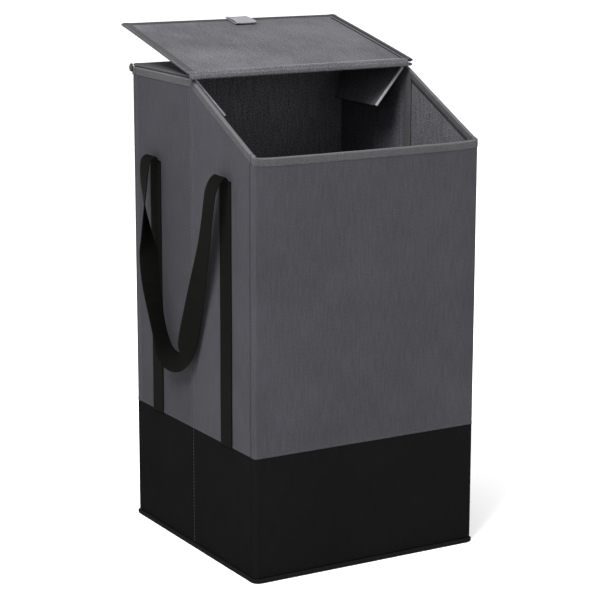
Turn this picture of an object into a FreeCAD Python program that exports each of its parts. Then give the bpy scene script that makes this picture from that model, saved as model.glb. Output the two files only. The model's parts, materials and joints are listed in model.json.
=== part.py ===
import FreeCAD, Part

import os
import re

# A folding fabric laundry hamper with a flap lid. Millimetres, +Z up, front towards -Y.
# The origin is on the floor, in the middle of the bottom.

# Every driving size, in millimetres or degrees: alias, value, meaning
SIZES = [
    ("width", 335, "outside width, left wall to right wall"),
    ("depth", 340, "outside depth, front wall to back wall"),
    ("front_height", 552, "rim height at the front wall"),
    ("rear_height", 635, "rim height from the side folds to the back wall"),
    ("band_top", 167, "height of the seam between lower band and upper cloth"),
    ("cloth", 0.8, "thickness of one layer of cloth or tape"),
    ("board", 2.4, "thickness of a wall's stiffener board"),
    ("wall", 4, "thickness of a wall: cloth, board and lining"),
    ("gap", 0.3, "clearance between pieces that move apart"),
    ("corner_return", 8.5, "how far front and back walls turn round the corner"),
    ("tape_setback", 1.5, "how far the side rim tape stays back from the corner folds"),
    ("binding_height", 10.5, "height of the tape over a rim or an edge"),
    ("wall_base", 8.8, "underside of the walls, just above the piping"),
    ("piping_height", 8.5, "height of the piping round the bottom"),
    ("piping_proud", 4.5, "how far the piping stands outside the walls"),
    ("piping_radius", 12, "corner radius of the piping seen from above"),
    ("bottom_thickness", 1, "thickness of the bottom cloth"),
    ("webbing_width", 30, "width of the handle webbing"),
    ("webbing_thickness", 1.6, "thickness of the handle webbing"),
    ("strap_top", 515, "top of the sewn straps"),
    ("rear_strap", 102, "middle of each rear strap, behind the fold"),
    ("front_strap", 95, "middle of each front strap, ahead of the fold"),
    ("loop_low", 242, "lowest point of a hanging handle loop"),
    ("loop_front", 10, "front of a loop's low end, ahead of the fold"),
    ("loop_rear", 72, "rear of a loop's low end, behind the fold"),
    ("loop_thickness", 16, "how far a loop stands off its wall"),
    ("loop_band", 9, "thickness of a loop's low end"),
    ("loop_arm", 24, "width of a loop's arms where they leave the straps"),
    ("panel_front", 13, "how far the top panel reaches ahead of the folds"),
    ("panel_low", 635.4, "underside of the top panel"),
    ("panel_high", 639.6, "upper side of the top panel"),
    ("lid_width", 339.6, "width of the lid"),
    ("lid_length", 216.5, "distance of the lid's free edge from its hinge line"),
    ("lid_near", 3.2, "distance of the lid's near edge from its hinge line"),
    ("lid_hinge_height", 640, "height of the lid's hinge line"),
    ("lid_angle", 13.25, "rise of the open lid towards the back"),
    ("lid_low", 0.4, "lid's lower surface above its hinge plane"),
    ("lid_high", 5.2, "lid's upper surface above its hinge plane"),
    ("tab_width", 26, "width of the pull tab"),
    ("tab_length", 32, "length of the pull tab"),
    ("tab_offset", 7, "middle of the pull tab, right of the centre"),
    ("tab_thickness", 3, "thickness of the folded pull tab"),
    ("wing_length", 66.7, "length of a wing from its root to its tip"),
    ("wing_thickness", 3, "thickness of a wing"),
    ("wing_angle", 50, "droop of a wing below level"),
    ("wing_root_height", 632, "height of a wing's root"),
    ("wing_root", 162.2, "distance of a wing's root from the middle plane"),
    ("wing_rear_root", 153.5, "rear end of a wing's root"),
    ("wing_rear_tip", 113.5, "rear end of a wing's tip"),
    ("base_half_width", 155, "half the width of the base board"),
    ("base_front", 156, "front edge of the base board, ahead of the middle"),
    ("base_rear", 160, "rear edge of the base board, behind the middle"),
    ("base_low", 1.4, "underside of the base board"),
    ("base_high", 4.4, "upper side of the base board"),
    ("tape_end", 6.5, "how far the rear hinge tape sticks out at each side"),
    ("tape_drop", 13, "how far the rear hinge tape's ends hang down"),
]
VALUES = {alias: value for alias, value, meaning in SIZES}

doc = FreeCAD.newDocument("LaundryHamper")
sheet = doc.addObject("Spreadsheet::Sheet", "Dims")
for row, (alias, value, meaning) in enumerate(SIZES, start=1):
    sheet.set(f"A{row}", meaning)
    sheet.set(f"B{row}", str(value))
    sheet.setAlias(f"B{row}", alias)
doc.recompute()

HALF_WIDTH = "width / 2"
HALF_DEPTH = "depth / 2"
LEFT, RIGHT = -1, 1
FRONT, BACK = -1, 1
CORNER_HEIGHT = "front_height + (rear_height - front_height) * corner_return / (depth / 2)"

nodes = []


def bound(formula):
    """The formula with each size's alias spelled as a cell of the sheet."""
    return re.sub(r"[a-z_]+", lambda word: f"Dims.{word[0]}" if word[0] in VALUES else word[0], formula)


def bind(item, **formulas):
    for name, formula in formulas.items():
        item.setExpression(name.replace("_", "."), bound(formula))


def span(side, near, far):
    """The range between two distances from a middle plane, on one side of it."""
    return (near, far) if side > 0 else (f"-({far})", f"-({near})")


def both(half):
    return f"-({half})", half


def block(name, x, y, z, z_far=None, x_far=None):
    """A six-sided solid. Its end at the larger y may have another height or width."""
    solid = doc.addObject("Part::Wedge", name)
    z_far, x_far = z_far or z, x_far or x
    bind(solid, Xmin=x[0], Xmax=x[1], Ymin=y[0], Ymax=y[1], Zmin=z[0], Zmax=z[1])
    bind(solid, X2min=x_far[0], X2max=x_far[1], Z2min=z_far[0], Z2max=z_far[1])
    return solid


def cut(base, *tools):
    for tool in tools:
        result = doc.addObject("Part::Cut", base.Name + "_less")
        result.Base, result.Tool = base, tool
        base = result
    return base


def node(label, solid):
    """Name a finished sub-part, so that it is written to its own file."""
    solid.Label = label
    nodes.append(solid)
    return solid


def end_wall_layer(name, side, outside, inside, bottom, top):
    """One layer of the front or back wall, with its returns round both corners."""
    end = f"{HALF_DEPTH} - corner_return"
    outer = block(name, both(f"{HALF_WIDTH} - ({outside})"),
                  span(side, end, f"{HALF_DEPTH} - ({outside})"), (bottom, top))
    inner = block(name + "_room", both(f"{HALF_WIDTH} - ({inside})"),
                  span(side, f"{end} - 1", f"{HALF_DEPTH} - ({inside})"), (f"{bottom} - 1", f"{top} + 1"))
    return cut(outer, inner)


def end_wall(prefix, side, height):
    """The front or back wall: two cloths outside, a board, a lining and the rim tape."""

    def layer(part, outside, inside, bottom, top):
        return end_wall_layer(prefix + part, side, outside, inside, bottom, top)

    edge = f"{height} - cloth"
    node(f"{prefix}_outer_cloth", layer("_upper", "0", "cloth", "band_top", edge))
    node(f"{prefix}_lower_band", layer("_lower", "0", "cloth", "wall_base", "band_top"))
    node(f"{prefix}_stiffener", layer("_board", "cloth", "cloth + board", "wall_base", edge))
    node(f"{prefix}_lining", layer("_inner", "cloth + board", "wall", "wall_base", edge))
    tape = layer("_tape", "-cloth", "wall + cloth", f"{height} - binding_height", height)
    node(f"{prefix}_rim_binding", cut(tape, layer("_core", "0", "wall", "wall_base", edge)))


def half_panel_layer(name, side, half, outside, inside, bottoms, tops, setback="gap"):
    """One layer of half a side wall, between its corner and the fold in the middle."""
    x = span(side, f"{HALF_WIDTH} - ({inside})", f"{HALF_WIDTH} - ({outside})")
    y = span(half, "gap / 2", f"{HALF_DEPTH} - corner_return - ({setback})")
    return block(name, x, y, (bottoms[0], tops[0]), z_far=(bottoms[1], tops[1]))


def half_panel(prefix, side, half):
    """Half a side wall, level behind the fold and sloping down to the front ahead of it."""
    rim = ("rear_height",) * 2 if half == BACK else (CORNER_HEIGHT, "rear_height")

    def layer(part, *sizes):
        return half_panel_layer(prefix + part, side, half, *sizes)

    edge = [f"{height} - cloth" for height in rim]
    base, seam = ("wall_base",) * 2, ("band_top",) * 2
    node(f"{prefix}_outer_cloth", layer("_upper", "0", "cloth", seam, edge))
    node(f"{prefix}_lower_band", layer("_lower", "0", "cloth", base, seam))
    node(f"{prefix}_stiffener", layer("_board", "cloth", "cloth + board", base, edge))
    node(f"{prefix}_lining", layer("_inner", "cloth + board", "wall", base, edge))
    low_edge = [f"{height} - binding_height" for height in rim]
    tape = layer("_tape", "-cloth", "wall + cloth", low_edge, rim, "tape_setback")
    node(f"{prefix}_rim_binding", cut(tape, layer("_core", "0", "wall", base, edge)))


def sewn_strap(label, side, half, middle):
    """The flat length of webbing stitched down one half of a side wall."""
    x = span(side, HALF_WIDTH, f"{HALF_WIDTH} + webbing_thickness")
    y = span(half, f"{middle} - webbing_width / 2", f"{middle} + webbing_width / 2")
    node(label, block(label, x, y, ("band_top", "strap_top")))


def handle_loop(label, side):
    """The free webbing between two straps, hanging as a U across the fold.

    It is drawn with its length across as X and its height as Y, then turned upright.
    """
    wall_side = f"{HALF_WIDTH} + webbing_thickness + gap"
    stand_off = span(side, wall_side, f"{wall_side} + loop_thickness")
    outline = block(label + "_outline", ("-loop_front", "loop_rear"), ("loop_low", "strap_top"), stand_off,
                    x_far=("-front_strap - loop_arm / 2", "rear_strap + loop_arm / 2"))
    clear_of_wall = span(side, f"{wall_side} - 1", f"{wall_side} + loop_thickness + 1")
    hand_gap = block(label + "_hand_gap", ("-loop_front + loop_band", "loop_rear - loop_band"),
                     ("loop_low + loop_band", "strap_top + 1"), clear_of_wall,
                     x_far=("-front_strap + loop_arm / 2", "rear_strap - loop_arm / 2"))
    loop = node(label, cut(outline, hand_gap))
    loop.Placement.Rotation = FreeCAD.Rotation(
        FreeCAD.Vector(0, 1, 0), FreeCAD.Vector(0, 0, 1), FreeCAD.Vector(1, 0, 0), "XYZ")


def rounded_plate(name, half_x, half_y, radius, bottom, height):
    """A plate with rounded corners, made as a body: a box and a fillet on its four uprights."""
    body = doc.addObject("PartDesign::Body", name)
    plate = body.newObject("PartDesign::AdditiveBox", name + "_box")
    bind(plate, Length=f"2 * ({half_x})", Width=f"2 * ({half_y})", Height=height)
    bind(plate, Placement_Base_x=f"-({half_x})", Placement_Base_y=f"-({half_y})", Placement_Base_z=bottom)
    doc.recompute()
    uprights = [f"Edge{number}" for number, edge in enumerate(plate.Shape.Edges, start=1)
                if abs(edge.tangentAt(edge.FirstParameter).z) > 0.99]
    rounding = body.newObject("PartDesign::Fillet", name + "_corners")
    rounding.Base = (plate, uprights)
    bind(rounding, Radius=radius)
    return body


def bottom():
    """The sewn bottom: a sheet of cloth inside a raised ring of piping."""
    ring = rounded_plate("piping_outline", f"{HALF_WIDTH} + piping_proud", f"{HALF_DEPTH} + piping_proud",
                         "piping_radius", "0", "piping_height")
    inner = (f"{HALF_WIDTH} - wall", f"{HALF_DEPTH} - wall", "piping_radius - wall")
    room = rounded_plate("piping_room", *inner, "-1", "piping_height + 2")
    node("bottom_piping", cut(ring, room))
    node("bottom_fabric", rounded_plate("bottom_sheet", *inner, "0", "bottom_thickness"))


def inset(ranges, amount):
    return f"{ranges[0]} + {amount}", f"{ranges[1]} - {amount}"


def covered_board(name, x, y, z, x_far=None):
    """A board and the cloth cover round it. The cover is open at its smaller y."""
    room = (inset(x, "cloth"), (y[0], f"{y[1]} - cloth"), inset(z, "cloth"))
    room_far = x_far and inset(x_far, "cloth")
    cover = block(name + "_skin", x, y, z, x_far=x_far)
    hollow = block(name + "_hollow", *room, x_far=room_far)
    board = block(name + "_board", *room, x_far=room_far)
    return cut(cover, hollow), board


def edge_tape(name, x, y, z, z_core):
    """Tape folded over the edges of a flat panel whose own surfaces are at z_core."""
    frame = block(name, x, y, z)
    through = (f"{z[0]} - 1", f"{z[1]} + 1")
    middle = block(name + "_middle", inset(x, "binding_height"), inset(y, "binding_height"), through)
    core = block(name + "_core", inset(x, "cloth"), inset(y, "cloth"), z_core)
    return cut(frame, middle, core)


def top_panel():
    """The level panel over the rear half, with tape on its edges and a fabric hinge behind."""
    x, y = both(f"{HALF_WIDTH} - gap"), ("-panel_front", HALF_DEPTH)
    surfaces = ("panel_low + cloth / 2", "panel_high - cloth / 2")
    cover, board = covered_board("top_panel", inset(x, "cloth"), inset(y, "cloth"), surfaces)
    node("top_panel_cover", cover)
    node("top_panel_board", board)
    tape = edge_tape("top_tape", x, y, ("panel_low", "panel_high"), surfaces)
    node("top_panel_binding", tape)


def rear_hinge_tape():
    """The tape that joins the top panel to the back wall. Its two ends hang out at the sides."""
    y = (f"{HALF_DEPTH} + cloth + gap", f"{HALF_DEPTH} + 2 * cloth + gap")
    x = both(f"{HALF_WIDTH} + tape_end")
    strip = block("rear_tape_strip", x, y, ("rear_height - tape_drop", "rear_height"))
    node("rear_hinge_tape", strip)


def lid():
    """The open lid, drawn flat from its hinge line and then tilted back."""
    x, y = both("lid_width / 2"), ("lid_near", "lid_length")
    core = ("lid_low + cloth", "lid_high - cloth")
    core_x, core_y = inset(x, "cloth"), inset(y, "cloth")
    outer = block("lid_outer", core_x, core_y, ("lid_low + cloth / 2", "lid_low + cloth * 3 / 2"))
    lining = block("lid_inner", core_x, core_y, ("lid_high - cloth * 3 / 2", "lid_high - cloth / 2"))
    board = block("lid_plate", core_x, core_y, ("lid_low + cloth * 3 / 2", "lid_high - cloth * 3 / 2"))
    surfaces = ("lid_low + cloth / 2", "lid_high - cloth / 2")
    tape = edge_tape("lid_tape", x, y, ("lid_low", "lid_high"), surfaces)
    tab_x = ("tab_offset - tab_width / 2", "tab_offset + tab_width / 2")
    tab = block("tab", tab_x, ("lid_length - gap - tab_length", "lid_length - gap"),
                ("lid_high + gap", "lid_high + gap + tab_thickness"))
    pieces = {"lid_outer_cover": outer, "lid_lining": lining, "lid_board": board,
              "lid_binding": tape, "lid_pull_tab": tab}
    for label, solid in pieces.items():
        node(label, solid)
        solid.Placement.Rotation = FreeCAD.Rotation(FreeCAD.Vector(1, 0, 0), VALUES["lid_angle"])
        bind(solid, Placement_Base_y="-panel_front", Placement_Base_z="lid_hinge_height")


def wing(prefix, side):
    """A stiff flap inside the rear half of a side wall, hanging inwards from its upper edge.

    It is drawn with X along its root and Y from root to tip. Its rear end is cut at a
    slant, so that it clears the back wall when the side folds in.
    """
    root, tip = ("gap", "wing_rear_root"), ("gap", "wing_rear_tip")
    if side == RIGHT:
        root, tip = [(f"-{end[1]}", f"-{end[0]}") for end in (root, tip)]
    cover, board = covered_board(prefix, root, ("0", "wing_length"), ("-wing_thickness", "0"), x_far=tip)
    droop = FreeCAD.Rotation(FreeCAD.Vector(0, 1, 0), VALUES["wing_angle"] * -side)
    along = FreeCAD.Vector(0, -side, 0)
    inwards = droop.multVec(FreeCAD.Vector(-side, 0, 0))
    for label, solid in ((f"{prefix}_cover", cover), (f"{prefix}_board", board)):
        node(label, solid)
        solid.Placement.Rotation = FreeCAD.Rotation(along, inwards, along.cross(inwards), "XYZ")
        bind(solid, Placement_Base_x=f"{side} * wing_root", Placement_Base_z="wing_root_height")


def base_board():
    """The loose covered board on the bottom, which lifts up against the back wall."""
    x, y = both("base_half_width"), ("-base_front", "base_rear")
    cover, board = covered_board("base", x, y, ("base_low", "base_high"))
    node("base_board_cover", cover)
    node("base_board_core", board)


bottom()
for prefix, side, height in (("back", BACK, "rear_height"), ("front", FRONT, "front_height")):
    end_wall(prefix, side, height)
for side_name, side in (("left", LEFT), ("right", RIGHT)):
    for half_name, half, middle in (("rear", BACK, "rear_strap"), ("front", FRONT, "front_strap")):
        half_panel(f"{side_name}_{half_name}", side, half)
        sewn_strap(f"{side_name}_{half_name}_sewn_strap", side, half, middle)
    handle_loop(f"{side_name}_handle_loop", side)
    wing(f"{side_name}_wing", side)
top_panel()
rear_hinge_tape()
lid()
base_board()

doc.recompute()
faulty = [item.Label for item in doc.Objects if {"Invalid", "Error"} & set(item.State)]
faulty += [item.Label for item in nodes if item.Shape.isNull() or not item.Shape.isValid()]
if faulty:
    raise RuntimeError(f"not made soundly: {sorted(set(faulty))}")

os.makedirs("parts", exist_ok=True)
for item in nodes:
    item.Shape.exportStep(f"parts/{item.Label}.step")
print(len(nodes), "sub-parts written")
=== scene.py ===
import json
import math

import bmesh
import bpy
import numpy as np
from mathutils import Matrix, Vector, noise


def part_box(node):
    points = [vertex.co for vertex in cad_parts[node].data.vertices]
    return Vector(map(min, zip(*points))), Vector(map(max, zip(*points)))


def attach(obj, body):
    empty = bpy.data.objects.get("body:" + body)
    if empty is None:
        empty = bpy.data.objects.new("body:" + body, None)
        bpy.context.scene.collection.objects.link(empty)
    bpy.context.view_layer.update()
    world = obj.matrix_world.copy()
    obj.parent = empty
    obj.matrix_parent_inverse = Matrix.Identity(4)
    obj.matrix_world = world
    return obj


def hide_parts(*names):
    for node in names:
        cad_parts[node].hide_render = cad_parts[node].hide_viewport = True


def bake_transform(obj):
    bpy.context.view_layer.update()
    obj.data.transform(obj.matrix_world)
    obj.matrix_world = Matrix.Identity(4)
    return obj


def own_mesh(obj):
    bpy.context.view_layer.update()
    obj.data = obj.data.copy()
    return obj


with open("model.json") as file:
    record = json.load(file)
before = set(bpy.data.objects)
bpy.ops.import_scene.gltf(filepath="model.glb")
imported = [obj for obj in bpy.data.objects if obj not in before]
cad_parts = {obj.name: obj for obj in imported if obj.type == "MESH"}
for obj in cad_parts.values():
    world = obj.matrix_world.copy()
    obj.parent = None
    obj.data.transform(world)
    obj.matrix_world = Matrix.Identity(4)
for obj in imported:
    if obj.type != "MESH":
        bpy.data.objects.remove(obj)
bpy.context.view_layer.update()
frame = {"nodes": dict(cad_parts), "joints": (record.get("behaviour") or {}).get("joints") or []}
joints = {joint["name"]: joint for joint in frame["joints"]}


def box(node):
    low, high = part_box(node)
    return np.array(low, float), np.array(high, float)


# Sizes read from the frame, in metres. Front is -Y.
FRONT_LOW, FRONT_HIGH = box("front_outer_cloth")
HALF_WIDTH, HALF_DEPTH = FRONT_HIGH[0], -FRONT_LOW[1]
CORNER_FOLD = -FRONT_HIGH[1]
SEAM = FRONT_LOW[2]
FRONT_RIM = box("front_rim_binding")[1][2]
REAR_RIM = box("back_rim_binding")[1][2]
WALL_BASE = 0.0066
WALL = HALF_WIDTH + box("left_rear_lining")[1][0]
TAPE_HEIGHT = REAR_RIM - box("back_rim_binding")[0][2]
FOLD_GAP = 0.00015
STRAP_WIDTH = 0.030
STRAP_TOP = box("left_rear_sewn_strap")[1][2]
STRAPS = {"rear": box("left_rear_sewn_strap"), "front": box("left_front_sewn_strap")}
LID_ORIGIN = np.array(joints["lid_hinge"]["pos_m"])
LID_RISE = math.radians(13.25)
LID_HALF = box("lid_binding")[1][0]
LID_NEAR, LID_FAR = 0.0032, 0.2165
LID_LOW, LID_HIGH = 0.0004, 0.0040
CORNER_RADIUS = 0.0024
CORNER_FOLD_TO_FRONT = HALF_DEPTH - CORNER_FOLD
RIM_SLOPE = (REAR_RIM - FRONT_RIM) / HALF_DEPTH
RIM_SWEEP = 0.011
TAPE_THICKNESS = 0.0008
SKIN = 0.0006
SPACING = 0.004
STRAP_THICKNESS, LOOP_THICKNESS = 0.0019, 0.0017
STRAP_STAND_OFF = 0.0012
STRAP_SEAM_INSET = 0.0030
STRAP_BOX_LOW, STRAP_BOX_HEIGHT = 0.036, 0.024
FLAP_LENGTH = 0.0667
FLAP_DROOP = {"left": 48.8, "right": 50}
FLAP_SHIFT = {"left": (0.0006, 0, 0.0010), "right": (0, 0, 0)}
FLAP_REAR_CLEARANCE, FLAP_TIP_SETBACK = 0.0045, 0.042
LID_SAG, LID_TWIST, LID_BOW = 0.0024, 0.0007, 0.0006
LID_LEFT_DROP, LID_LEFT_SPREAD, LID_LEFT_TAPER = 0.0008, 0.0060, 0.0045
SIDES = (("left", -1), ("right", 1))
TAB_LENGTH = 0.0318
PIPING_HEIGHT = 0.0064
PIPING_CORNER = 0.012
PIPING_SEAM_ALLOWANCE = 0.0108
FLOOR_REACH = 14.0
LAMP_TARGET = Vector((0, 0, 0.35))
LAMPS = (("key", (-1.75, -0.95, 2.85), 1.4, 215), ("fill", (0.5, -3.2, 1.0), 1.6, 30))
WORLD_STRENGTH = 1.2
CAMERA_LENS, CAMERA_SENSOR = 124.87, 36
CAMERA_PLACE = (-1.4020, -2.3881, 0.9413)
CAMERA_AZIMUTH, CAMERA_ELEVATION, CAMERA_ROLL = -30.367, 12.572, 0.113


# ---------------------------------------------------------------- materials

def shader(name, roughness, specular=0.3):
    material = bpy.data.materials.new(name)
    material.use_nodes = True
    surface = material.node_tree.nodes["Principled BSDF"]
    surface.inputs["Roughness"].default_value = roughness
    surface.inputs["Specular IOR Level"].default_value = specular
    return material, material.node_tree, surface


def add(tree, kind, **settings):
    made = tree.nodes.new(kind)
    for name, value in settings.items():
        setattr(made, name, value)
    return made


def math_node(tree, operation, first, second=None):
    made = add(tree, "ShaderNodeMath", operation=operation)
    for socket, value in zip(made.inputs, (first, second)):
        if value is None:
            continue
        if isinstance(value, (int, float)):
            socket.default_value = value
        else:
            tree.links.new(value, socket)
    return made.outputs[0]


def noise_node(tree, vector, scale, detail=3.0, roughness=0.55):
    made = add(tree, "ShaderNodeTexNoise")
    made.inputs["Scale"].default_value = scale
    made.inputs["Detail"].default_value = detail
    made.inputs["Roughness"].default_value = roughness
    tree.links.new(vector, made.inputs["Vector"])
    return made.outputs["Fac"]


def colour_ramp(tree, factor, stops):
    made = add(tree, "ShaderNodeValToRGB")
    ramp = made.color_ramp
    for (place, colour), element in zip(stops, ramp.elements):
        element.position, element.color = place, (*colour, 1)
    for place, colour in stops[2:]:
        element = ramp.elements.new(place)
        element.color = (*colour, 1)
    tree.links.new(factor, made.inputs["Fac"])
    return made.outputs["Color"]


def shade(colour, amount):
    return tuple(channel * amount for channel in colour)


def cloth_material(name, colour, pitch, weave_share=0.10, streaks=0.14, mottle=0.10, speckle=0.24,
                   roughness=0.9, depth=0.3, slant=0.0, specular=0.02, painted_highlight=None):
    """Woven cloth. UVs are in metres, so pitch is the real distance between threads."""
    material, tree, surface = shader(name, roughness, specular)

    def calc(operation, *values):
        return math_node(tree, operation, *values)

    place = add(tree, "ShaderNodeTexCoord")
    split = add(tree, "ShaderNodeSeparateXYZ")
    tree.links.new(place.outputs["UV"], split.inputs[0])
    along, across = split.outputs[0], split.outputs[1]
    leaning = calc("ADD", along, calc("MULTIPLY", across, slant))
    turns = 2 * math.pi / pitch
    warp = calc("SINE", calc("MULTIPLY", leaning, turns))
    weft = calc("SINE", calc("MULTIPLY", across, turns))
    weave = calc("MULTIPLY", warp, weft)
    stretch = add(tree, "ShaderNodeVectorMath", operation="MULTIPLY")
    stretch.inputs[1].default_value = (1 / (2.6 * pitch), 1 / (26 * pitch), 1)
    tree.links.new(place.outputs["UV"], stretch.inputs[0])
    slub = noise_node(tree, stretch.outputs[0], 1.0, 3.0, 0.6)
    grain = noise_node(tree, place.outputs["UV"], 1 / (pitch * 1.6), 2.0, 0.6)
    cloud = noise_node(tree, place.outputs["Object"], 11.0, 4.0, 0.6)
    mixed = calc("ADD", calc("MULTIPLY", weave, weave_share), 0.5)
    for share, fleck in ((streaks, slub), (speckle, grain), (mottle, cloud)):
        shift = calc("MULTIPLY", calc("SUBTRACT", fleck, 0.5), 3 * share)
        mixed = calc("ADD", mixed, shift)
    # painted highlight: the colour is lifted in a band of the across UV, centred on middle and fading out
    # over reach
    if painted_highlight:
        middle, reach, gain = painted_highlight
        away = calc("ABSOLUTE", calc("SUBTRACT", across, middle))
        share = calc("DIVIDE", away, reach)
        near = calc("MAXIMUM", calc("SUBTRACT", 1.0, share), 0.0)
        mixed = calc("ADD", mixed, calc("MULTIPLY", near, gain))
    colours = colour_ramp(tree, mixed, [(0.0, shade(colour, 0.45)), (1.0, shade(colour, 1.65)),
                                        (0.5, colour)])
    tree.links.new(colours, surface.inputs["Base Color"])
    rough = calc("ADD", calc("MULTIPLY", grain, 0.14), roughness - 0.07)
    tree.links.new(rough, surface.inputs["Roughness"])
    bump = add(tree, "ShaderNodeBump")
    bump.inputs["Strength"].default_value = depth
    bump.inputs["Distance"].default_value = pitch * 0.4
    height = calc("ADD", weave, calc("MULTIPLY", grain, 2.0))
    tree.links.new(height, bump.inputs["Height"])
    tree.links.new(bump.outputs["Normal"], surface.inputs["Normal"])
    return material


def board_material():
    material, tree, surface = shader("stiffener_board", 0.9)
    place = add(tree, "ShaderNodeTexCoord")
    fibres = noise_node(tree, place.outputs["Object"], 260.0, 5.0, 0.7)
    colours = colour_ramp(tree, fibres, [(0.3, (0.055, 0.050, 0.045)), (0.7, (0.105, 0.098, 0.088))])
    tree.links.new(colours, surface.inputs["Base Color"])
    bump = add(tree, "ShaderNodeBump")
    bump.inputs["Strength"].default_value = 0.2
    bump.inputs["Distance"].default_value = 0.0004
    tree.links.new(fibres, bump.inputs["Height"])
    tree.links.new(bump.outputs["Normal"], surface.inputs["Normal"])
    return material


GREY = cloth_material("grey_canvas", (0.0290, 0.0284, 0.0328), 0.0011)
# Painted shade: a darker copy of the grey canvas for the side walls' rear halves
PAINTED_SHADE_GREY = cloth_material("shaded_grey_canvas", (0.0255, 0.0250, 0.0290), 0.0011)
# The lid's lining cloth, lighter than the lining canvas: partly its own tone, partly painted light on the
# upward lid
PAINTED_LIGHT_LID_GREY = cloth_material("lid_canvas", (0.064, 0.063, 0.069), 0.0013, speckle=0.6, mottle=0.3)
INSIDE = cloth_material("lining_canvas", (0.055, 0.054, 0.061), 0.0014, speckle=0.75, streaks=0.3)
BLACK = cloth_material("black_canvas", (0.0041, 0.0041, 0.0043), 0.0011, specular=0.0)
TAPE = cloth_material("binding_tape", (0.0432, 0.0424, 0.0446), 0.0010, speckle=0.5, depth=0.5)
# Painted highlight: the rim tape is lighter in a band along its top
RIM_TAPE = cloth_material("rim_binding_tape", (0.0432, 0.0424, 0.0446), 0.0010, speckle=0.5, depth=0.5,
                          painted_highlight=(0.0118, 0.0040, 0.9))
TAPE_END = cloth_material("raw_tape_end", (0.046, 0.040, 0.037), 0.0012, speckle=0.8, depth=0.6)
# Painted light: a lighter copy of the grey canvas for the top panel, against the lid's shadow on it
PAINTED_LIGHT_TOP_GREY = cloth_material("top_panel_canvas", (0.0440, 0.0430, 0.0480), 0.0011)
WEBBING = cloth_material("handle_webbing", (0.0038, 0.0038, 0.0034), 0.0018, weave_share=0.3, depth=0.7,
                         slant=0.6, roughness=0.75, specular=0.01)
PIPING = cloth_material("piping_cloth", (0.0042, 0.0042, 0.0043), 0.0010, specular=0.02)
TAB = cloth_material("tab_cloth", (0.16, 0.158, 0.172), 0.0009, roughness=0.6, depth=0.4)
EDGE = cloth_material("wing_edge_tape", (0.20, 0.20, 0.215), 0.0009)
PALE_THREAD = cloth_material("pale_thread", (0.20, 0.20, 0.21), 0.0005, roughness=0.6)
GREY_THREAD = cloth_material("grey_thread", (0.055, 0.055, 0.058), 0.0005, roughness=0.6)
BLACK_THREAD = cloth_material("black_thread", (0.006, 0.006, 0.006), 0.0005, roughness=0.6)
BOARD = board_material()


# ------------------------------------------------------------- mesh building

def build(name, vertices, faces, uvs, material, smooth_angle=40):
    """A closed mesh object with its normals outwards and a UV for every vertex, in metres."""
    mesh = bpy.data.meshes.new(name)
    mesh.from_pydata([tuple(v) for v in vertices], [], faces)
    layer = mesh.uv_layers.new(name="UVMap")
    corner_vertices = np.zeros(len(mesh.loops), int)
    mesh.loops.foreach_get("vertex_index", corner_vertices)
    layer.data.foreach_set("uv", np.asarray(uvs, float)[corner_vertices].ravel())
    shape = bmesh.new()
    shape.from_mesh(mesh)
    bmesh.ops.recalc_face_normals(shape, faces=shape.faces)
    shape.to_mesh(mesh)
    shape.free()
    mesh.shade_smooth()
    mesh.set_sharp_from_angle(angle=math.radians(smooth_angle))
    mesh.materials.append(material)
    piece = bpy.data.objects.new(name, mesh)
    bpy.context.scene.collection.objects.link(piece)
    return piece


def shell(name, front, back, uv, material):
    """A thin closed sheet between two grids of points of the same shape."""
    rows, columns = front.shape[:2]
    count = rows * columns
    index = np.arange(count).reshape(rows, columns)
    a, b, c, d = index[:-1, :-1], index[1:, :-1], index[1:, 1:], index[:-1, 1:]
    quads = np.stack([a, b, c, d], -1).reshape(-1, 4)
    faces = [tuple(q) for q in quads] + [tuple(q[::-1] + count) for q in quads]
    border = [*index[0, :], *index[1:, -1], *index[-1, -2::-1], *index[-2:0:-1, 0]]
    for here, there in zip(border, border[1:] + border[:1]):
        faces.append((here, there, there + count, here + count))
    vertices = np.concatenate([front.reshape(-1, 3), back.reshape(-1, 3)])
    return build(name, vertices, faces, np.tile(uv.reshape(-1, 2), (2, 1)), material)


def sweep(name, rings, uv_step, material, closed=False, smooth_angle=40):
    """A solid through rings of points. closed joins the last ring to the first."""
    rings = np.asarray(rings, float)
    count, around = rings.shape[:2]
    faces = []
    for ring in range(count if closed else count - 1):
        following = (ring + 1) % count
        for k in range(around):
            after = (k + 1) % around
            faces.append((ring * around + k, following * around + k,
                          following * around + after, ring * around + after))
    if not closed:
        faces.append(tuple(range(around)))
        faces.append(tuple((count - 1) * around + k for k in reversed(range(around))))
    edge = np.linalg.norm(np.roll(rings[0], -1, 0) - rings[0], axis=1)
    round_ring = np.concatenate([[0], np.cumsum(edge)[:-1]])
    uvs = [(ring * uv_step, offset) for ring in range(count) for offset in round_ring]
    return build(name, rings.reshape(-1, 3), faces, uvs, material, smooth_angle)


def crumple(points, size, seed):
    """Smooth noise from -1 to 1 for each point of a grid."""
    flat = points.reshape(-1, 3) / size + seed * 7.3
    values = [noise.noise(Vector(point)) for point in flat]
    return np.array(values).reshape(points.shape[:-1])


def fade(distance, reach):
    """0 at an edge, 1 from reach inwards."""
    t = np.clip(distance / reach, 0, 1)
    return t * t * (3 - 2 * t)


def unit_rows(vectors):
    return vectors / np.linalg.norm(vectors, axis=1)[:, None]


def filled_in(plan, spacing):
    """The plan's points with more between them, about spacing apart. Its last point is left out."""
    dense = []
    for here, there in zip(plan, plan[1:]):
        steps = max(1, int(math.dist(here, there) / spacing))
        dense += [np.array(here) + (np.array(there) - np.array(here)) * i / steps for i in range(steps)]
    return dense


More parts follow.
